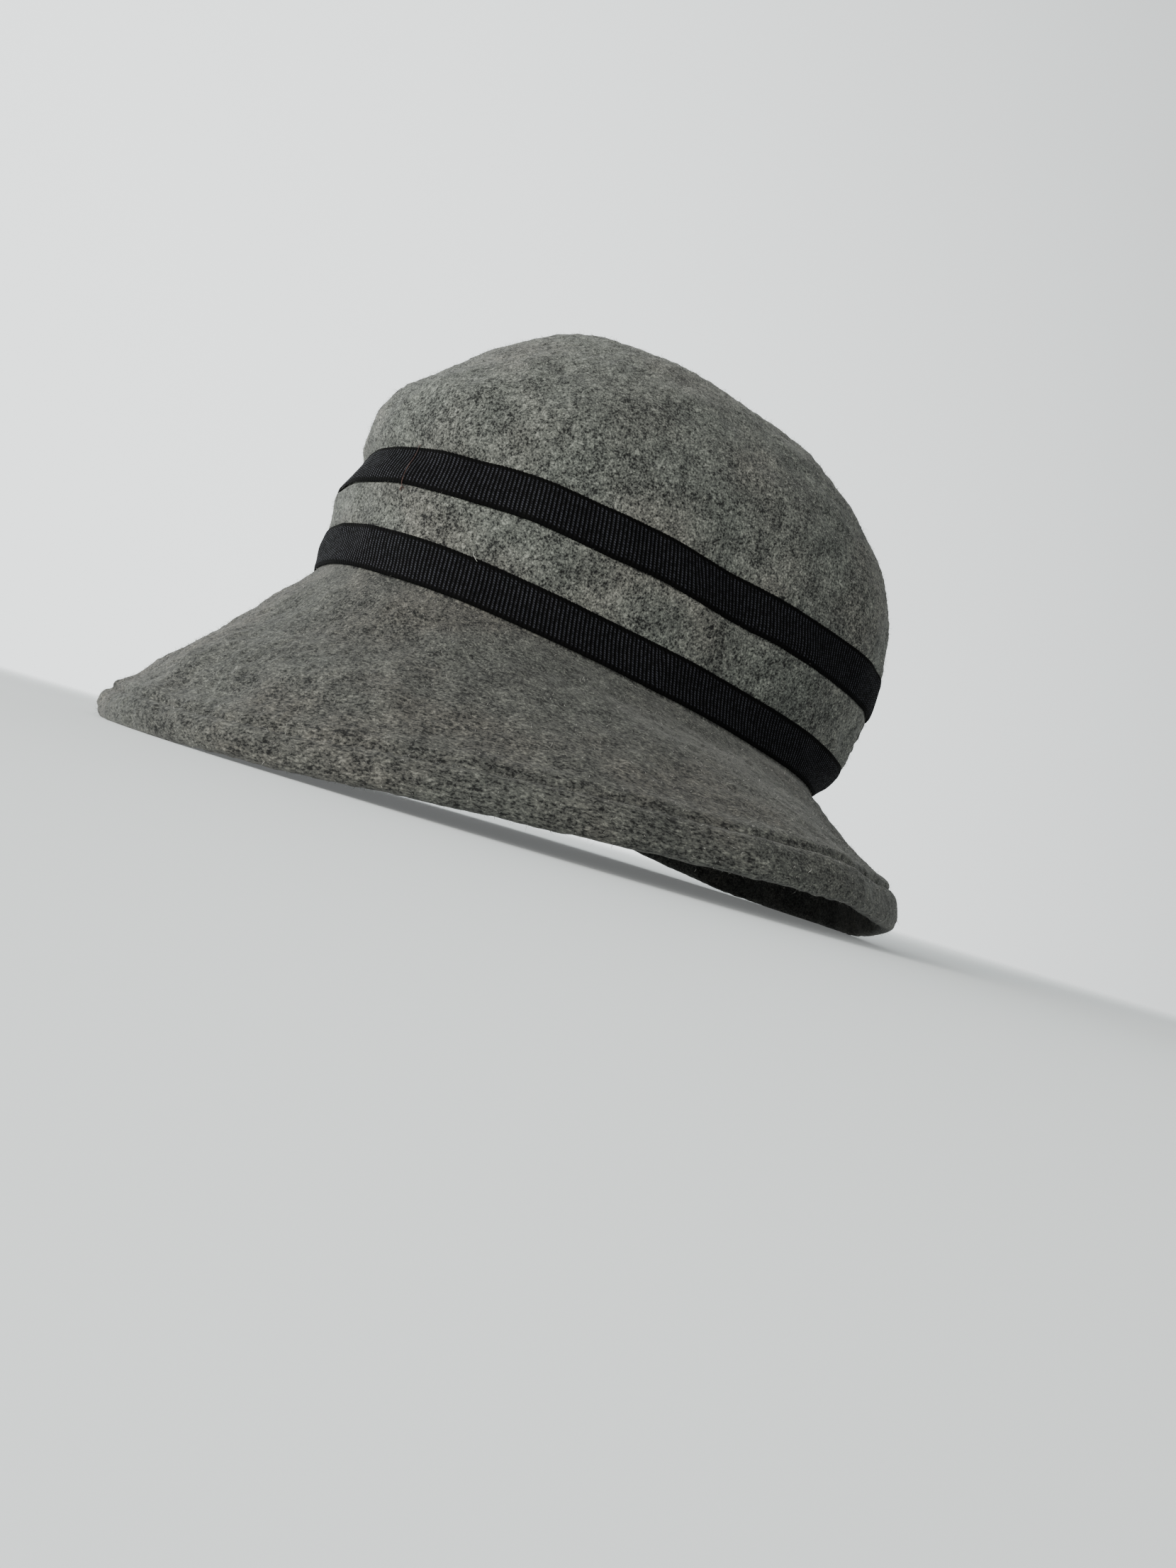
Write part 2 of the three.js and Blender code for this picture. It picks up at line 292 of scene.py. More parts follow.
def soft_noise(points, wavelength, seed, waves=40):
    """Sum of cosines in random directions, with wavelengths within a quarter of the one asked
    for, scaled so that its usual size is 1."""
    rng = np.random.default_rng(seed)
    directions = unit(rng.normal(size=(waves, 3)))
    lengths = wavelength * rng.uniform(0.75, 1.3, waves)
    phases = rng.uniform(0, 2 * np.pi, waves)
    total = np.zeros(points.shape[:-1])
    for direction, length, phase in zip(directions, lengths, phases):
        total += np.cos(points @ direction * (2 * np.pi / length) + phase)
    return total / np.sqrt(waves / 2)


def uneven(points, layers):
    """Sum of the layers' soft noises, each times its amount."""
    return sum(amount * soft_noise(points, length, seed) for amount, length, seed in layers)


def hump(distance, width):
    """Gaussian of distance over width: 1 in the middle, and next to nothing past two widths."""
    return np.exp(-((distance / width) ** 2))


def step_up(value, low, high):
    """Smooth step from 0 at low to 1 at high."""
    t = np.clip((value - low) / (high - low), 0, 1)
    return t * t * (3 - 2 * t)


def climb(height):
    """Distance up the crown from its foot: over the wall's zones and then over the dome."""
    wall, dome = np.minimum(height, WALL_TOP), np.maximum(height - WALL_TOP, 0)
    return ZONE_CLIMB * wall + DOME_CLIMB * dome


def height_at(distance):
    """Height on the crown, in zones, at that distance up it."""
    wall = ZONE_CLIMB * WALL_TOP
    return np.minimum(distance, wall) / ZONE_CLIMB + np.maximum(distance - wall, 0) / DOME_CLIMB


def grid_faces(columns, rows, closed):
    """Four-sided faces between neighbouring columns, round the whole ring. Where it is closed,
    the last row is joined to the first."""
    here = np.arange(columns)[:, None]
    low = np.arange(rows if closed else rows - 1)[None, :]
    after, high = (here + 1) % columns, (low + 1) % rows
    corners = [here * rows + low, after * rows + low, after * rows + high, here * rows + high]
    return np.stack(np.broadcast_arrays(*corners), axis=-1).reshape(-1, 4)


def make_mesh(name, points, quads, triangles=(), corner_uv=None):
    """A smooth mesh of those points, in metres, with its faces put in as whole arrays."""
    points, quads = np.asarray(points, float).reshape(-1, 3), np.asarray(quads, int)
    triangles = np.asarray(triangles, int).reshape(-1, 3)
    corners = np.concatenate([quads.ravel(), triangles.ravel()])
    sizes = np.concatenate([np.full(len(quads), 4), np.full(len(triangles), 3)])
    mesh = bpy.data.meshes.new(name)
    mesh.vertices.add(len(points))
    mesh.vertices.foreach_set("co", (points * MM).astype(np.float32).ravel())
    mesh.loops.add(len(corners))
    mesh.loops.foreach_set("vertex_index", corners.astype(np.int32))
    mesh.polygons.add(len(sizes))
    mesh.polygons.foreach_set("loop_start", (np.cumsum(sizes) - sizes).astype(np.int32))
    mesh.polygons.foreach_set("loop_total", sizes.astype(np.int32))
    mesh.polygons.foreach_set("use_smooth", np.ones(len(sizes), bool))
    if corner_uv is not None:
        layer = mesh.uv_layers.new(name="Lay")
        layer.data.foreach_set("uv", np.asarray(corner_uv, np.float32).ravel())
    mesh.update(calc_edges=True)
    mesh.validate()
    return mesh


def make_piece(name, mesh, material, node=None):
    """An object at the origin with that mesh, riding on the hat's one body."""
    mesh.materials.append(material)
    piece = bpy.data.objects.new(name, mesh)
    bpy.context.scene.collection.objects.link(piece)
    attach(piece, "root")
    if node:
        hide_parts(node)
    return piece


def uv_of_ring(u, v, faces, turn_length, last_step=None):
    """Each face corner's place in metres: u around the ring, v along the section. The last
    column's far corners have a whole turn added, so that no face runs back across the pattern.
    Where a last step is given, the last row's far corners lie that far past it."""
    columns, rows = u.shape
    us, vs = u.ravel()[faces], v.ravel()[faces]
    us[faces[:, 0] // rows == columns - 1, 1:3] += turn_length
    if last_step:
        last = faces[:, 0] % rows == rows - 1
        vs[last, 2:4] = vs[last, 0:2] + last_step
    return np.stack([us, vs], axis=-1) * MM


def felt_swell(points, height):
    """Slow unevenness of blocked felt, which fades out at the crown's foot, where the brim
    starts."""
    return step_up(height, *SWELL_FADE) * uneven(points, CROWN_SWELL)


def under_ribbon(climbed, margin=EDGE_SOFTNESS):
    """1 under a ribbon and 0 away from it, with a smooth step over each of its edges."""
    share = 0
    for low, high in RIBBONS.values():
        above_low = step_up(climbed, low - margin, low + margin)
        share = share + above_low * (1 - step_up(climbed, high - margin, high + margin))
    return share


def crown_relief(angle, height, points):
    """Felt pressed down under the ribbons and risen beside them, slow swell, fine pebbles, fuller
    shoulders in front of slightly settled sides, and one nick between the ribbons."""
    climbed = climb(height)
    pressed = under_ribbon(climbed)
    beside = 0
    for low, high in RIBBONS.values():
        for away in (low - climbed, climbed - high):
            beside = beside + np.where(away > 0, hump(away - PUFF_AWAY, PUFF_AWAY), 0)
    across = (angle - NICK_ANGLE) * NICK_RADIUS + (height - NICK_HEIGHT) * NICK_SLANT
    along = (height - NICK_HEIGHT) * NICK_ZONE
    length = np.exp(-((along / NICK_LENGTH) ** 4))
    lip = NICK_LIP * hump(across - NICK_LIP_AWAY, NICK_WIDTH)
    nick = -NICK_DEPTH * hump(across, NICK_WIDTH) + lip
    raised = uneven(points, CROWN_PEBBLES) + PUFF * beside
    relief = raised * (1 - pressed) - PRESSED * pressed
    relief = relief + dent_push(angle, height, SETTLED_DOME)
    rise = np.sin(np.clip(height - WALL_TOP, 0, 1) * np.pi / 2)
    relief = relief - TOP_SETTLE * step_up(rise, SETTLE_FROM, 1)
    return felt_swell(points, height) + relief * step_up(height, *RELIEF_FADE) + nick * length


CROWN_COLUMNS = 500
CROWN_WALL_ROWS = 52
CROWN_DOME_ROWS = 88
CROWN_INSIDE_ROWS = 44


def crown_grid():
    """Lines from the inside of the top, down the inside, round the foot and up the outside, and
    the heights of the outside's rows."""
    angles = np.arange(CROWN_COLUMNS) * 2 * np.pi / CROWN_COLUMNS
    wall = np.linspace(SHOULDER_HEIGHT / RIBBON_WIDTH, WALL_TOP, CROWN_WALL_ROWS)
    dome = WALL_TOP + np.arange(1, CROWN_DOME_ROWS) / CROWN_DOME_ROWS
    outer = np.concatenate([wall, dome])
    inner = np.interp(np.linspace(0, 1, CROWN_INSIDE_ROWS), np.linspace(0, 1, len(outer)), outer)
    angle, height = np.meshgrid(angles, outer, indexing="ij")
    plain = crown_point(angle, height)
    normal = tilt(crown_normal(angle, height))
    outside = plain + normal * crown_relief(angle, height, plain)[..., None]
    angle, height = np.meshgrid(angles, inner[::-1], indexing="ij")
    thin = crown_point(angle, height, -FELT)
    swell = felt_swell(crown_point(angle, height), height)
    swell = swell + uneven(thin, INSIDE_PEBBLES) * step_up(height, *SWELL_FADE)
    inside = thin + tilt(crown_normal(angle, height)) * swell[..., None]
    return np.concatenate([inside, outside], axis=1), outer


def crown_mesh(points):
    """The crown's grid closed with one point at each top."""
    columns, rows = points.shape[:2]
    faces = grid_faces(columns, rows, False)
    tops = [points[:, 0].mean(0), points[:, -1].mean(0)]
    here = np.arange(columns)
    after = (here + 1) % columns
    inner_top, outer_top = columns * rows, columns * rows + 1
    inner_fan = np.stack([here * rows, np.full(columns, inner_top), after * rows], axis=-1)
    last = rows - 1
    low, high = here * rows + last, after * rows + last
    outer_fan = np.stack([low, high, np.full(columns, outer_top)], axis=-1)
    points = np.concatenate([points.reshape(-1, 3), tops])
    return make_mesh("crown_felt", points, faces, np.concatenate([inner_fan, outer_fan]))


BRIM_COLUMNS = 820
BRIM_TOP_ROWS = 66
FOLD_ROWS = 9
HEM_ROWS = 10
UNDER_ROWS = 26


def stitch_depth(angle):
    """Distance of the stitch line from the brim's edge: least at the front, most at the back."""
    least, more = STITCH_LINE
    return least + more * (1 - np.cos(angle)) / 2 + STITCH_WANDER * np.sin(5 * angle + 1)


def stitch_beat(angle):
    """Cosine that is least at each stitch, and the turn it has come to. The stitches are not
    quite evenly spaced, so two slow sines run them ahead and behind."""
    turn = STITCHES * angle + 2 * np.pi * (0.6 * np.sin(3 * angle) + 0.5 * np.sin(11 * angle + 2))
    return np.cos(turn), turn


def brim_frame(angle, way):
    """Point of the upper face, its unit normal, its unit slope outwards and the length of the
    line that it stands on."""
    point, length = brim_point(angle, way)
    slope = unit(brim_point(angle, way + SLOPE_STEP)[0] - brim_point(angle, way - SLOPE_STEP)[0])
    around = brim_point(angle + SLOPE_STEP, way)[0] - brim_point(angle - SLOPE_STEP, way)[0]
    return point, unit(np.cross(slope, around)), slope, length


def brim_relief(angle, from_edge, points):
    """Groove of the stitch line with a pucker at each stitch, the puffed hem outside it and fine
    pebbles. Apart from them, what the whole wall follows: a slow swell, and a hump at the
    stitch line from which the stiff hem droops."""
    line = stitch_depth(angle)
    away = from_edge - line
    beat, _ = stitch_beat(angle)
    groove = -(GROOVE_DEPTH + GROOVE_BEAT * beat) * hump(away, GROOVE_WIDTH)
    groove = groove - VALLEY_DEPTH * hump(away, VALLEY_WIDTH)
    pucker = PUCKER * beat * hump(away, PUCKER_WIDTH)
    puff = HEM_PUFF * np.sin(np.pi * np.clip(from_edge / line, 0, 1))
    ridge = RIDGE * hump(away - RIDGE_AWAY, RIDGE_WIDTH)
    swell = uneven(points, BRIM_SWELL) + HEM_DROOP * hump(away, DROOP_WIDTH)
    return groove + pucker + puff + ridge + uneven(points, BRIM_PEBBLES), swell


def rest_lift(angle, way):
    """Rise that rests the round hem on the surface below the hat. It is what the middle of the
    fold lacks of the felt's thickness above that surface, and it comes in smoothly over the
    outer third of the brim."""
    _, length = brim_point(angle, np.zeros_like(angle))
    fold_way = 1 - FELT / length
    base, normal, _, _ = brim_frame(angle, fold_way)
    missing = REST_SQUASH * FELT - (base - normal * FELT)[..., 2]
    lift = (missing + np.sqrt(missing**2 + REST_SOFTNESS**2)) / 2
    return lift * step_up(way, *REST_FADE)


def brim_top(angle, way):
    """Upper face: the brim's surface plus its normal times the relief, lifted to rest."""
    point, normal, _, length = brim_frame(angle, way)
    detail, swell = brim_relief(angle, (1 - way) * length, point)
    point = point + normal * ((detail + swell) * step_up(way, *TOP_FADE))[..., None]
    point[..., 2] += rest_lift(angle, way)
    return point, normal


def brim_grid():
    """Section from the collar inside the crown, along the underside, the hem and the rounded
    fold, and back over the upper face to the crown. What would go below the surface that the
    hat rests on is pressed flat on it."""
    angles = np.arange(BRIM_COLUMNS) * 2 * np.pi / BRIM_COLUMNS
    one = angles[:, None]
    _, length = brim_point(one, np.zeros_like(one))
    fold_way = 1 - FELT / length
    spread = np.linspace(0, 1, BRIM_TOP_ROWS)[None, :]
    top_way = fold_way * (1 - (1 - spread) ** EDGE_CROWDING)
    top, _ = brim_top(np.broadcast_to(one, top_way.shape), top_way)

    base, normal, slope, _ = brim_frame(one, fold_way)
    turn = np.pi * np.arange(1, FOLD_ROWS + 1) / (FOLD_ROWS + 1)
    turn = np.broadcast_to(turn, (BRIM_COLUMNS, FOLD_ROWS))
    reach = normal * np.cos(turn)[..., None] + slope * np.sin(turn)[..., None]
    fold = base - normal * FELT + FELT * reach
    swell = brim_relief(one, np.zeros_like(turn), fold)[1]
    amount, wavelength, seed = FOLD_PEBBLES
    pebbles = amount * reach * soft_noise(fold, wavelength, seed)[..., None]
    fold = fold + normal * swell[..., None] + pebbles
    fold[..., 2] += rest_lift(one, fold_way)

    hem_width = stitch_depth(one) + HEM_PAST_STITCHES + uneven(base, HEM_WIDTHS)
    hem_way = 1 - hem_width / length
    share = np.linspace(0, 1, HEM_ROWS)[None, :]
    way = fold_way + (hem_way - fold_way) * share
    angle = np.broadcast_to(one, way.shape)
    point, normal, _, _ = brim_frame(angle, way)
    from_edge = (1 - way) * length
    swell = brim_relief(angle, from_edge, point)[1]
    sink = HEM_SINK * hump(from_edge - stitch_depth(angle), SINK_WIDTH)
    below = swell - 2 * FELT + sink + uneven(point, HEM_PEBBLES)
    hem = point + normal * below[..., None]
    hem[..., 2] += rest_lift(angle, way)

    share = np.linspace(1, UNDER_START, UNDER_ROWS)[None, :]
    way = (hem_way - HEM_STEP) * share
    angle = np.broadcast_to(one, way.shape)
    point, normal, _, _ = brim_frame(angle, way)
    swell = brim_relief(angle, (1 - way) * length, point)[1] * step_up(way, *UNDER_FADE)
    under = point + normal * (swell - FELT + uneven(point, UNDERSIDE_PEBBLES))[..., None]
    under[..., 2] += rest_lift(angle, way)

    collar_top = COLLAR_HEIGHT / RIBBON_WIDTH
    shoulder = SHOULDER_HEIGHT / RIBBON_WIDTH
    collar = [
        crown_point(one, np.full_like(one, height), np.full_like(one, outwards))
        for height, outwards in (
            (shoulder / 2, -2 * FELT - COLLAR_GAP),
            (shoulder * 1.5, -2 * FELT - COLLAR_GAP),
            (collar_top * 0.75, -2 * FELT - COLLAR_GAP),
            (collar_top, -1.85 * FELT - COLLAR_GAP),
            (collar_top, -1.15 * FELT - COLLAR_GAP),
            (collar_top * 0.8, -FELT - COLLAR_GAP),
            (shoulder, -FELT - COLLAR_GAP),
            (shoulder, -0.4),
        )
    ]
    section = np.concatenate([top, fold, hem, under] + collar, axis=1)
    section[..., 2] = np.maximum(section[..., 2], 0)
    return section[:, ::-1]


def brim_mesh(points):
    """The brim's ring, with a place in metres around it and along its section for the pattern."""
    columns, rows = points.shape[:2]
    turn = 2 * np.pi * RING_RADIUS
    u = np.broadcast_to((np.arange(columns) * turn / columns)[:, None], (columns, rows))
    steps = np.linalg.norm(np.diff(points, axis=1), axis=-1).mean(0)
    v = np.broadcast_to(np.concatenate([[0], np.cumsum(steps)])[None, :], (columns, rows))
    faces = grid_faces(columns, rows, True)
    uv = uv_of_ring(u, v, faces, turn, last_step=1)
    return make_mesh("brim_felt", points, faces, corner_uv=uv)


RIB_STEPS = 6
RIBBON_ROWS = 15


def girth_steps(height):
    """Angles round the crown at that height, and the distance travelled to each of them."""
    fine = np.linspace(0, 2 * np.pi, 4001)
    line = crown_point(fine, np.full_like(fine, height), 1.0)
    steps = np.linalg.norm(np.diff(line, axis=0), axis=1)
    return fine, np.concatenate([[0], np.cumsum(steps)])


def ribbon_mesh(name):
    """Closed band: its inner face lies on the felt, and its outer face rises in half-round ribs
    across the ribbon, fading to a smooth selvedge that waves a little at each rib. Steaming it
    round the crown has pulled the ribs askew, their tops towards the front on the left side.
    The inner face has every third row of the outer one, from the top down."""
    low, high = RIBBONS[name]
    middle_height = height_at((low + high) / 2)
    fine, travelled = girth_steps(middle_height)
    girth = travelled[-1]
    ribs = int(round(girth / RIB_PITCH))
    columns = ribs * RIB_STEPS
    angles = np.interp(np.arange(columns) * girth / columns, travelled, fine)
    phase = (np.arange(columns) % RIB_STEPS) / RIB_STEPS
    rib = np.sqrt(np.maximum(0, 1 - (2 * phase - 1) ** 2))[:, None]
    spread = np.sin(np.linspace(-1, 1, RIBBON_ROWS) * np.pi / 2)[None, :] * 0.5 + 0.5
    skew = RIB_SKEW * (spread - 0.5) * RIBBON_WIDTH * 2 * np.pi / girth
    angle = angles[:, None] - skew
    middle = crown_point(angles, np.full_like(angles, middle_height))
    wander = uneven(middle, RIBBON_WANDER[name])[:, None]
    scallop = SCALLOP * (rib - 0.5) * np.sign(spread - 0.5) * np.abs(2 * spread - 1) ** 8
    height = height_at(np.maximum(low + (high - low) * spread + wander + scallop, RIBBON_FOOT))
    inset = RIBBON_WIDTH * np.minimum(spread, 1 - spread)
    ribbed = step_up(inset, SELVEDGE - 0.5, SELVEDGE + 0.2)
    selvedge = SELVEDGE_RIB + (1 - SELVEDGE_RIB) * ribbed
    rounding = ROUNDING * (1 - step_up(inset, 0, ROUNDING_WIDTH))
    plain = crown_point(angle, height)
    amount, wavelength, seed = RIBBON_LIFT
    loose = np.maximum(0, soft_noise(plain, wavelength, seed))
    lift = amount * loose * np.abs(2 * spread - 1) ** 4
    under = RIBBON_LIE + felt_swell(plain, height) + lift
    outer = under + RIBBON_THICKNESS + RIB_HEIGHT * rib * selvedge - rounding
    back = slice(None, None, -3)
    inside = crown_point(angle[:, back], height[:, back], under[:, back])
    points = np.concatenate([inside, crown_point(angle, height, outer)], axis=1)
    rows = points.shape[1]
    along = np.arange(columns) * RIB_PITCH / RIB_STEPS
    u = np.broadcast_to(along[:, None], (columns, rows))
    across = np.broadcast_to(spread * RIBBON_WIDTH, (columns, RIBBON_ROWS))
    v = np.concatenate([across[:, back], across], axis=1)
    faces = grid_faces(columns, rows, True)
    uv = uv_of_ring(u, v, faces, ribs * RIB_PITCH)
    return make_mesh(name, points, faces, corner_uv=uv), girth


def tube(rings, sides, across, upward, radius):
    """A thin tube round each line of points: at each point a ring of so many corners, from the
    across and upward directions times the cosine and sine of their turn and times the radius.
    Its ends are closed with one face each."""
    turn = 2 * np.pi * np.arange(sides) / sides
    cosine, sine = np.cos(turn)[:, None], np.sin(turn)[:, None]
    ring = across[..., None, :] * cosine + upward[..., None, :] * sine
    points = rings[..., None, :] + ring * radius[..., None, None]
    count, steps = rings.shape[:2]
    here = np.arange(sides)
    after = (here + 1) % sides
    low = np.arange(steps - 1)[:, None] * sides
    quads = np.stack([low + here, low + after, low + sides + after, low + sides + here], axis=-1)
    start = np.arange(count)[:, None, None] * steps * sides
    quads = (quads.reshape(1, -1, 4) + start).reshape(-1, 4)
    fan = np.stack([np.zeros(sides - 2, int), here[1:-1], here[2:]], axis=-1)
    far = fan + (steps - 1) * sides
    ends = np.concatenate([fan[:, ::-1], far])
    triangles = (ends[None] + start).reshape(-1, 3)
    return points.reshape(-1, 3), quads, triangles


def stitch_mesh():
    """One small slip stitch in the bottom of each pucker: a tube of five rings that follows the
    stitch line, slants a little, and goes into the felt at both ends."""
    fine = np.linspace(0, 2 * np.pi, 20001)
    turn = stitch_beat(fine)[1]
    first = np.ceil((turn[0] - np.pi) / (2 * np.pi))
    wanted = np.pi + 2 * np.pi * (first + np.arange(STITCHES))
    middle = np.interp(wanted, turn, fine)[:, None]
    t = np.linspace(-1, 1, STITCH_RINGS)[None, :]
    rng = np.random.default_rng(61)
    half = STITCH_LENGTH / 2 * rng.uniform(*STITCH_UNEVEN, middle.shape)
    slant = rng.uniform(*STITCH_SLANTS, middle.shape)
    _, length = brim_point(middle, np.zeros_like(middle))
    reach = np.linalg.norm(brim_point(middle, np.ones_like(middle))[0][..., :2], axis=-1)
    angle = middle + t * half / reach
    way = 1 - (stitch_depth(angle) + t * slant) / length
    surface, normal = brim_top(angle, way)
    centre = surface + normal * (STITCH_STAND - STITCH_DIVE * t**4)[..., None]
    forward = unit(np.gradient(centre, axis=1))
    across = unit(np.cross(normal, forward))
    radius = np.broadcast_to(STITCH_THREAD / 2 * (1 - STITCH_TAPER * t**2), angle.shape)
    upward = np.cross(forward, across)
    return make_mesh("hem_stitches", *tube(centre, STITCH_SIDES, across, upward, radius))


def on_crown(path, steps):
    """A line through places on the crown, each an angle in degrees, a distance up the crown and
    a distance out from it. The first two go straight from place to place, and the distance
    out goes by cosine steps."""
    turns, climbs, outs = np.array(path, float).T
    places = np.arange(len(path))
    at = np.linspace(0, len(path) - 1, steps)
    angle = np.radians(np.interp(at, places, turns))
    height = height_at(np.interp(at, places, climbs))
    index = np.minimum(at.astype(int), len(path) - 2)
    share = (1 - np.cos(np.pi * (at - index))) / 2
    out = outs[index] * (1 - share) + outs[index + 1] * share
    swell = felt_swell(crown_point(angle, height), height)
    return crown_point(angle, height, out + swell), tilt(crown_normal(angle, height))


def thread_mesh(name, path, steps, width):
    """A thread along a line on the crown, as a tube."""
    centre, normal = on_crown(path, steps)
    forward = unit(np.gradient(centre, axis=0))
    across = unit(np.cross(normal, forward))
    radius = np.full((1, steps), width / 2)
    upward = np.cross(forward, across)
    line = tube(centre[None], THREAD_SIDES, across[None], upward[None], radius)
    return make_mesh(name, *line)


def scatter(points, count, seed, weight=None):
    """Random places on a grid of points, as likely as each face is large, with their normals
    and the generator, for the draws that follow."""
    rng = np.random.default_rng(seed)
    a, b = points[:, :-1], np.roll(points, -1, 0)[:, :-1]
    c = points[:, 1:]
    normal = np.cross(b - a, c - a)
    area = np.linalg.norm(normal, axis=-1)
    likely = area if weight is None else area * weight
    chosen = rng.choice(area.size, count, p=likely.ravel() / likely.sum())
    s, t = rng.random((2, count, 1))
    start, side, up = (v.reshape(-1, 3)[chosen] for v in (a, b - a, c - a))
    return start + side * s + up * t, unit(normal.reshape(-1, 3)[chosen]), rng


def fibres(places, normals, rng):
    """Bent spikes: three points round the root, three thinner ones half way and one tip. A
    fibre starts off leaning from the felt and then bends along it."""
    count = len(places)
    flat = unit(np.cross(normals, rng.normal(size=(count, 3))))
    bend = unit(np.cross(normals, rng.normal(size=(count, 3))))
    angle = np.radians(rng.uniform(*FIBRE_LEANS, (count, 1)))
    ahead = flat * np.cos(angle) + normals * np.sin(angle)
    length = rng.uniform(*FIBRE_LENGTHS, (count, 1)) * rng.uniform(0.55, 1.0, (count, 1))
    width = rng.uniform(*FIBRE_WIDTHS, (count, 1)) / 2
    first = unit(np.cross(ahead, rng.normal(size=(count, 3))))
    second = np.cross(ahead, first)
    root = places - normals * FIBRE_ROOT
    middle = root + ahead * length * 0.5
    tip = middle + (ahead * 0.42 + bend * 0.4) * length
    rings = []
    for centre, size in ((root, width), (middle, width * 0.75)):
        for k in range(3):
            turn = 2 * np.pi * k / 3
            rings.append(centre + (first * np.cos(turn) + second * np.sin(turn)) * size)
    points = np.stack(rings + [tip], axis=1)
    points[..., 2] = np.maximum(points[..., 2], 0)
    start = np.arange(count)[:, None, None] * points.shape[1]
    quads = np.array([[0, 1, 4, 3], [1, 2, 5, 4], [2, 0, 3, 5]])[None] + start
    triangles = np.array([[0, 2, 1], [3, 4, 6], [4, 5, 6], [5, 3, 6]])[None] + start
    return points.reshape(-1, 3), quads.reshape(-1, 4), triangles.reshape(-1, 3)


# Felt from its dark specks, through the even grey between them, to its light fibres
FELT_SHADES = [
    (0.415, "#070808"),
    (0.445, "#262726"),
    (0.475, "#464745"),
    (0.525, "#5a5b58"),
    (0.565, "#6b6c67"),
    (0.61, "#8a8b85"),
]
TINT_PLACES = (0.40, 0.52, 0.62)

# Noises that add up to the marl of the felt: how many to a metre, detail, roughness, distortion
# and share. Specks are 0.7 mm apart, flocks 2 mm and clouds 9 mm, and the tint changes over 40 mm.
SPECKS = (1400, 3, 0.72, 0.3, 0.58)
FLOCKS = (520, 2, 0.6, 0, 0.25)
CLOUDS = (110, 3, 0.6, 0, 0.17)
TINT_CHANGES = 26
DRAWN_OUT = (0.7, 1, 1)


def linear(colour):
    """sRGB hex colour as linear red, green, blue and 1."""
    value = np.array([int(colour[k : k + 2], 16) for k in (1, 3, 5)]) / 255
    value = np.where(value <= 0.04045, value / 12.92, ((value + 0.055) / 1.055) ** 2.4)
    return (*value, 1)


def fill(tree, node, sockets):
    """Gives a node's sockets their values, or links them to other nodes' outputs."""
    for name, value in sockets.items():
        if isinstance(value, bpy.types.NodeSocket):
            tree.links.new(value, node.inputs[name])
        else:
            node.inputs[name].default_value = value


def add(tree, kind, sockets=None, stops=None, **settings):
    """Adds a node with its settings, its socket values or links, and its ramp's stops."""
    node = tree.nodes.new(kind)
    for name, value in settings.items():
        setattr(node, name, value)
    fill(tree, node, sockets or {})
    if stops:
        elements = node.color_ramp.elements
        while len(elements) < len(stops):
            elements.new(0.5)
        for element, (position, colour) in zip(elements, stops):
            element.position = position
            element.color = linear(colour)
    return node


def new_material(name):
    """A material with an empty shader tree, its Principled shader and its output."""
    material = bpy.data.materials.new(name)
    material.use_nodes = True
    tree = material.node_tree
    tree.nodes.clear()
    shader = add(tree, "ShaderNodeBsdfPrincipled")
    add(tree, "ShaderNodeOutputMaterial", {"Surface": shader.outputs["BSDF"]})
    return material, tree, shader


def wool_felt(name, stretched, tints):
    """Marled wool felt, blocked and lightly brushed. Dark and light dyed fibres, matted in all
    directions, give the eye specks that gather into flocks and clouds, under a slow change of
    tint. The fibres are 0.02 mm thick, too fine to show, so they are drawn as coarse as the
    specks. On the brim the felt was stretched around its edge, which draws the specks out along
    it. The brim's tints are given darker than the crown's: that darkness is painted shade."""
    material, tree, shader = new_material(name)
    place = add(tree, "ShaderNodeTexCoord")
    where = place.outputs["Object"]
    lay = where
    if stretched:
        around = {"Vector": place.outputs["UV"], "Scale": DRAWN_OUT}
        lay = add(tree, "ShaderNodeMapping", around).outputs["Vector"]
    marl = 0.0
    for vector, noise in ((lay, SPECKS), (lay, FLOCKS), (where, CLOUDS)):
        scale, detail, roughness, distortion, share = noise
        sockets = {"Vector": vector, "Scale": scale, "Detail": detail}
        sockets |= {"Roughness": roughness, "Distortion": distortion}
        part = add(tree, "ShaderNodeTexNoise", sockets).outputs[0]
        mix = {0: part, 1: share, 2: marl}
        marl = add(tree, "ShaderNodeMath", mix, operation="MULTIPLY_ADD").outputs[0]
    wide = add(tree, "ShaderNodeTexNoise", {"Vector": where, "Scale": TINT_CHANGES, "Detail": 2})
    speck = add(tree, "ShaderNodeValToRGB", {"Fac": marl}, stops=FELT_SHADES)
    stops = list(zip(TINT_PLACES, tints))
    tint = add(tree, "ShaderNodeValToRGB", {"Fac": wide.outputs[0]}, stops=stops)
    colour = add(
        tree,
        "ShaderNodeMix",
        {"Factor": 1.0, "A": speck.outputs["Color"], "B": tint.outputs["Color"]},
        data_type="RGBA",
        blend_type="MULTIPLY",
    )
    bump = add(tree, "ShaderNodeBump", {"Strength": 0.6, "Distance": 0.0004, "Height": marl})
    looks = {
        "Base Color": colour.outputs["Result"],
        "Normal": bump.outputs["Normal"],
        "Roughness": 0.92,
        "Specular IOR Level": 0.25,
        "Sheen Weight": 0.18,
        "Sheen Roughness": 0.5,
        "Sheen Tint": linear("#c8c8c4"),
    }
    fill(tree, shader, looks)
    return material


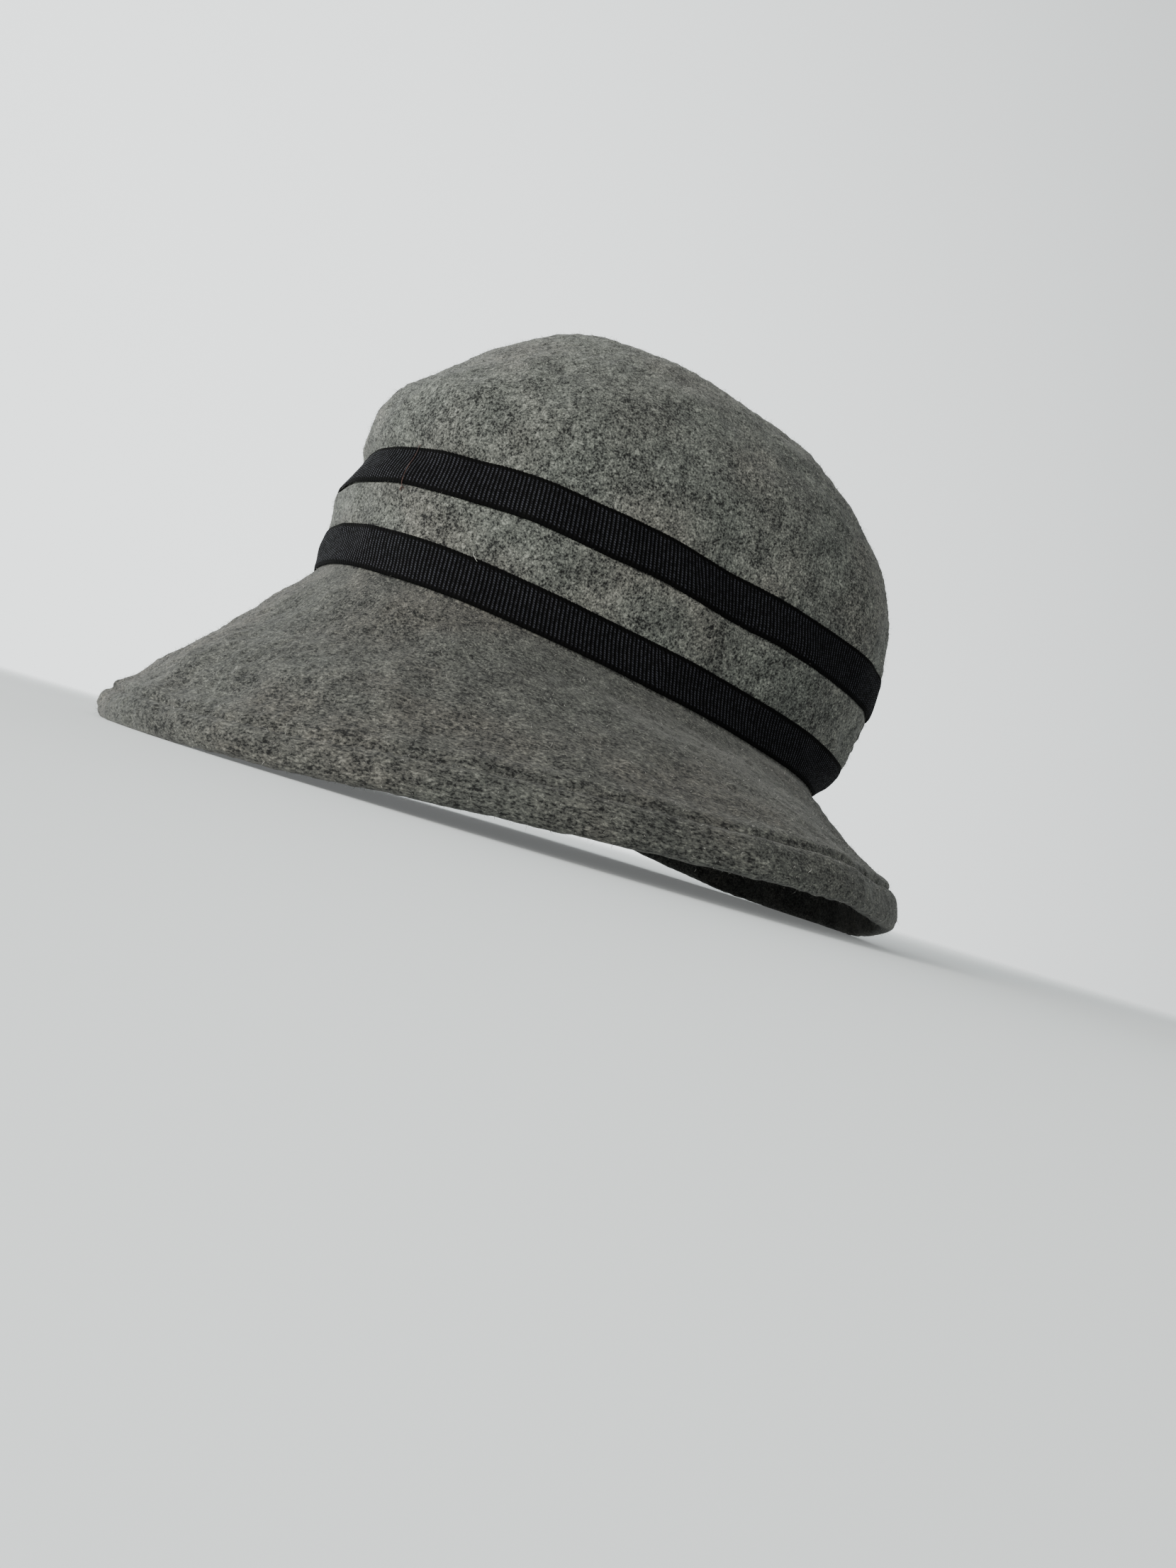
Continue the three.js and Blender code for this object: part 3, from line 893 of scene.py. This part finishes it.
def loose_wool():
    """Single wool fibres that stand off the brushed felt, some dark and some light. The shade
    changes over about 1 mm, so that each fibre has its own."""
    material, tree, shader = new_material("loose_wool_fibres")
    place = add(tree, "ShaderNodeTexCoord").outputs["Object"]
    which = add(tree, "ShaderNodeTexNoise", {"Vector": place, "Scale": 900, "Detail": 1})
    shade = add(
        tree,
        "ShaderNodeValToRGB",
        {"Fac": which.outputs[0]},
        stops=[(0.38, "#1b1b1b"), (0.47, "#454542"), (0.55, "#75746f"), (0.66, "#b2b1ab")],
    )
    looks = {"Base Color": shade.outputs["Color"], "Roughness": 0.8, "Specular IOR Level": 0.3}
    fill(tree, shader, looks)
    return material


def spun_thread(name, dark, light):
    """Spun cotton sewing thread: its plies give the eye small changes from dark to light. They
    are 0.1 mm apart on the real thread, and drawn 0.4 mm apart so that they show."""
    material, tree, shader = new_material(name)
    place = add(tree, "ShaderNodeTexCoord").outputs["Object"]
    ply = add(tree, "ShaderNodeTexNoise", {"Vector": place, "Scale": 2500, "Detail": 1})
    stops = [(0.4, dark), (0.6, light)]
    shade = add(tree, "ShaderNodeValToRGB", {"Fac": ply.outputs[0]}, stops=stops)
    looks = {"Base Color": shade.outputs["Color"], "Roughness": 0.7, "Specular IOR Level": 0.3}
    fill(tree, shader, looks)
    return material


def grosgrain():
    """Black rayon grosgrain: fine warp threads pass over thick crosswise wefts. The ribs are in
    the mesh. The warp threads, 0.25 mm in the real ribbon, are drawn 0.75 mm apart so that they
    show. Their highlights are painted into the colour as rows of small light dots along each rib
    crest, with painted shade in the grooves between ribs, and the same pattern drives the bump and
    the gloss. The selvedges are plain, and the painted sheen, gloss and bump are uneven over about
    1 mm."""
    material, tree, shader = new_material("black_rayon_grosgrain")
    place = add(tree, "ShaderNodeTexCoord")
    split = add(tree, "ShaderNodeSeparateXYZ", {"Vector": place.outputs["UV"]})
    along, across = split.outputs["X"], split.outputs["Y"]
    to_turns = {0: along, 1: np.pi / (RIB_PITCH * MM)}
    rib = add(tree, "ShaderNodeMath", to_turns, operation="MULTIPLY").outputs[0]
    crest = add(tree, "ShaderNodeMath", {0: rib}, operation="SINE").outputs[0]
    thread = add(tree, "ShaderNodeMath", {0: crest, 1: crest}, operation="MULTIPLY").outputs[0]
    to_turns = {0: across, 1: 2 * np.pi / (WARP_PITCH * MM), 2: rib}
    warp = add(tree, "ShaderNodeMath", to_turns, operation="MULTIPLY_ADD").outputs[0]
    warp = add(tree, "ShaderNodeMath", {0: warp}, operation="SINE").outputs[0]
    dots = {0: warp, 1: WARP_DEPTH, 2: 1 - WARP_DEPTH}
    warp = add(tree, "ShaderNodeMath", dots, operation="MULTIPLY_ADD").outputs[0]
    from_middle = {0: across, 1: RIBBON_WIDTH / 2 * MM}
    inset = add(tree, "ShaderNodeMath", from_middle, operation="SUBTRACT").outputs[0]
    inset = add(tree, "ShaderNodeMath", {0: inset}, operation="ABSOLUTE").outputs[0]
    edge = RIBBON_WIDTH / 2 - SELVEDGE
    between_selvedges = {
        "Value": inset,
        "From Min": (edge + 0.3) * MM,
        "From Max": (edge - 0.4) * MM,
        "To Min": 0.12,
        "To Max": 1.0,
    }
    woven = add(tree, "ShaderNodeMapRange", between_selvedges).outputs[0]
    sheen_unevenness = {"Vector": place.outputs["Object"], "Scale": 900, "Detail": 2}
    noise = add(tree, "ShaderNodeTexNoise", sheen_unevenness).outputs[0]
    span = {"Value": noise, "From Min": 0.36, "From Max": 0.62, "To Min": 0.6, "To Max": 1.1}
    uneven_sheen = add(tree, "ShaderNodeMapRange", span).outputs[0]
    for part in (warp, woven, uneven_sheen):
        product = {0: thread, 1: part}
        thread = add(tree, "ShaderNodeMath", product, operation="MULTIPLY").outputs[0]
    # Painted highlight and shade: the ramp makes rib crests and warp dots light and the grooves
    # between ribs black, as light falling on them would
    colour = add(
        tree,
        "ShaderNodeValToRGB",
        {"Fac": thread},
        stops=[(0.1, "#020202"), (0.4, "#09090b"), (0.9, "#313238")],
    )
    span = {"Value": thread, "From Min": 0.0, "From Max": 1.0, "To Min": 0.85, "To Max": 0.45}
    gloss = add(tree, "ShaderNodeMapRange", span)
    bump = add(tree, "ShaderNodeBump", {"Strength": 0.6, "Distance": 0.0002, "Height": thread})
    looks = {
        "Base Color": colour.outputs["Color"],
        "Roughness": gloss.outputs["Result"],
        "Normal": bump.outputs["Normal"],
        "Specular IOR Level": 0.06,
    }
    fill(tree, shader, looks)
    return material


def floor_paper():
    """Matt white paper lit from below, as on a light table: the plain pale floor, fading into
    the backdrop far from the hat."""
    material, tree, shader = new_material("matt_white_paper")
    place = add(tree, "ShaderNodeTexCoord").outputs["Object"]
    far = add(tree, "ShaderNodeVectorMath", {0: place}, operation="LENGTH").outputs["Value"]
    span = {"Value": far, "From Min": 0.2, "From Max": 1.2, "To Min": 1.0, "To Max": 0.0}
    fade = add(tree, "ShaderNodeMapRange", span, interpolation_type="SMOOTHSTEP")
    looks = {
        "Base Color": linear("#e2e6e6"),
        "Emission Color": linear("#eef1f1"),
        "Emission Strength": 0.16,
        "Roughness": 0.9,
        "Specular IOR Level": 0.1,
        "Alpha": fade.outputs["Result"],
    }
    fill(tree, shader, looks)
    return material


# The pieces of the hat
crown_points, crown_heights = crown_grid()
crown_wool = wool_felt("wool_felt_blocked", False, ("#e0e4e0", "#e8e9e5", "#ebe8e4"))
make_piece("crown_felt", crown_mesh(crown_points), crown_wool, "crown")

brim_points = brim_grid()
# The brim's tints are darker than the crown's: painted shade, the same felt drawn as if in shadow
brim_wool = wool_felt("wool_felt_stretched_painted_shade", True, ("#b7b8b5", "#bbbab7", "#c0bbb7"))
make_piece("brim_felt", brim_mesh(brim_points), brim_wool, "brim")

ribbon_cloth = grosgrain()
for node in RIBBONS:
    mesh, girth = ribbon_mesh(node)
    piece = make_piece(node + "_grosgrain", mesh, ribbon_cloth, node)

# Loose fibres: none of the crown's grow from its inside or under a ribbon
wool = loose_wool()
open_felt = np.ones(len(crown_heights) - 1)
wall_heights = crown_heights[: CROWN_WALL_ROWS - 1]
open_felt[: len(wall_heights)] = 1 - under_ribbon(climb(wall_heights), FIBRE_MARGIN)
fuzz = fibres(*scatter(crown_points[:, CROWN_INSIDE_ROWS:], CROWN_FIBRES, 51, open_felt[None, :]))
make_piece("crown_fibres", make_mesh("crown_fibres", *fuzz), wool)
fuzz = fibres(*scatter(brim_points[:, COLLAR_ROWS:], BRIM_FIBRES, 52))
make_piece("brim_fibres", make_mesh("brim_fibres", *fuzz), wool)

grey_thread = spun_thread("grey_cotton_thread", "#232424", "#4b4c4a")
make_piece("hem_stitches", stitch_mesh(), grey_thread)

# A tacking thread left across the upper ribbon, with its knot, and a bit of lint: places for
# on_crown, then the number of steps and the width
TACKING = [
    (26.0, 46.2, 0.1),
    (26.2, 45.0, 1.2),
    (26.6, 41.5, 1.25),
    (27.6, 37.0, 1.3),
    (28.6, 32.5, 1.25),
    (29.0, 30.2, 1.1),
    (29.3, 28.8, 0.5),
    (28.9, 28.0, 0.6),
    (29.6, 27.6, 0.9),
    (29.2, 28.6, 0.9),
    (29.8, 28.9, 0.5),
    (30.1, 27.9, 0.2),
]
LINT = [
    (50.6, 17.4, 0.1),
    (50.8, 16.6, 0.6),
    (51.3, 15.6, 1.2),
    (52.0, 14.8, 1.4),
    (52.4, 14.4, 1.1),
]
brown_thread = spun_thread("brown_cotton_thread", "#2c1b19", "#5c4138")
tacking = thread_mesh("tacking_thread", TACKING, 120, 0.2)
make_piece("tacking_thread", tacking, brown_thread)
pale_thread = spun_thread("pale_cotton_lint", "#7c7c77", "#b9b9b2")
make_piece("stray_lint", thread_mesh("stray_lint", LINT, 30, 0.16), pale_thread)

# Camera, floor and light
CAMERA_PLACE = Vector((459.61, -138.81, -15.43)) * MM
CAMERA_RIGHT = Vector((0.3603, 0.8884, 0.2845))
CAMERA_UP = Vector((-0.0235, -0.2963, 0.9548))
CAMERA_LENS = 30.13
CAMERA_RAISE = np.radians(3)
HAT_MIDDLE = Vector((0, 0, 85)) * MM
BRIGHT_SIDE = (-0.85, -0.55, -0.3)
FLOOR_RINGS = (0.001, 150, 400, 1000, 2500)
FLOOR_SPOKES = 96

# Soft boxes: direction from the hat, distance and size in metres, watts and colour
SOFT_BOXES = {
    "key_soft_box": ((0.3, -0.95, 0.24), 1.6, 0.8, 34, "#fffdf8"),
    "side_soft_box": ((0.97, 0.1, 0.22), 1.8, 0.9, 5, "#fdfdf8"),
    "low_soft_box": ((0.97, -0.22, 0.08), 1.5, 0.4, 6, "#fdfdf8"),
}


def make_camera():
    """A camera at the photo's angle, raised about the hat's middle until it clears the floor."""
    level = Vector((CAMERA_RIGHT.x, CAMERA_RIGHT.y, 0)).normalized()
    raised = Matrix.Rotation(-CAMERA_RAISE, 3, level)
    right, up = (raised @ CAMERA_RIGHT).normalized(), raised @ CAMERA_UP
    back = right.cross(up).normalized()
    up = back.cross(right)
    camera = bpy.data.objects.new("camera", bpy.data.cameras.new("camera"))
    bpy.context.scene.collection.objects.link(camera)
    turned = Matrix((right, up, back)).transposed().to_4x4()
    place = HAT_MIDDLE + raised @ (CAMERA_PLACE - HAT_MIDDLE)
    camera.matrix_world = Matrix.Translation(place) @ turned
    camera.data.lens = CAMERA_LENS
    camera.data.clip_start = 0.005
    bpy.context.scene.camera = camera


def make_floor():
    """A flat disc, 2.5 m in radius, of rings about the hat."""
    turn = np.linspace(0, 2 * np.pi, FLOOR_SPOKES, endpoint=False)[:, None]
    reach = np.array(FLOOR_RINGS)[None, :]
    points = stack(reach * np.cos(turn), reach * np.sin(turn), 0)
    faces = grid_faces(FLOOR_SPOKES, len(FLOOR_RINGS), False)[:, ::-1]
    floor = bpy.data.objects.new("floor", make_mesh("floor", points, faces))
    floor.data.materials.append(floor_paper())
    bpy.context.scene.collection.objects.link(floor)


def make_light(name, direction, distance, size, watts, colour):
    """A square soft box that faces the hat from that direction."""
    lamp = bpy.data.lights.new(name, "AREA")
    lamp.size, lamp.energy, lamp.color = size, watts, linear(colour)[:3]
    light = bpy.data.objects.new(name, lamp)
    toward = Vector(direction).normalized()
    light.location = HAT_MIDDLE + toward * distance
    light.rotation_euler = toward.to_track_quat("Z", "Y").to_euler()
    bpy.context.scene.collection.objects.link(light)


def make_world():
    """A pale backdrop, brightest on the bright side and dimmest across from it and overhead."""
    world = bpy.data.worlds.new("pale_backdrop")
    world.use_nodes = True
    tree = world.node_tree
    place = add(tree, "ShaderNodeTexCoord").outputs["Generated"]
    toward = {0: place, 1: Vector(BRIGHT_SIDE).normalized()}
    bright = add(tree, "ShaderNodeVectorMath", toward, operation="DOT_PRODUCT").outputs["Value"]
    span = {"Value": bright, "From Min": -0.5, "From Max": 0.85, "To Min": 0.42, "To Max": 2.5}
    shade = add(tree, "ShaderNodeMapRange", span, interpolation_type="SMOOTHSTEP")
    high = add(tree, "ShaderNodeSeparateXYZ", {"Vector": place}).outputs["Z"]
    span = {"Value": high, "From Min": 0.55, "From Max": 0.95, "To Min": 1.0, "To Max": 0.45}
    dim = add(tree, "ShaderNodeMapRange", span, interpolation_type="SMOOTHSTEP")
    product = {0: shade.outputs["Result"], 1: dim.outputs["Result"]}
    strength = add(tree, "ShaderNodeMath", product, operation="MULTIPLY").outputs["Value"]
    back = tree.nodes["Background"]
    fill(tree, back, {"Color": linear("#eef3f3"), "Strength": strength})
    bpy.context.scene.world = world


make_camera()
make_floor()
make_world()
for name, settings in SOFT_BOXES.items():
    make_light(name, *settings)
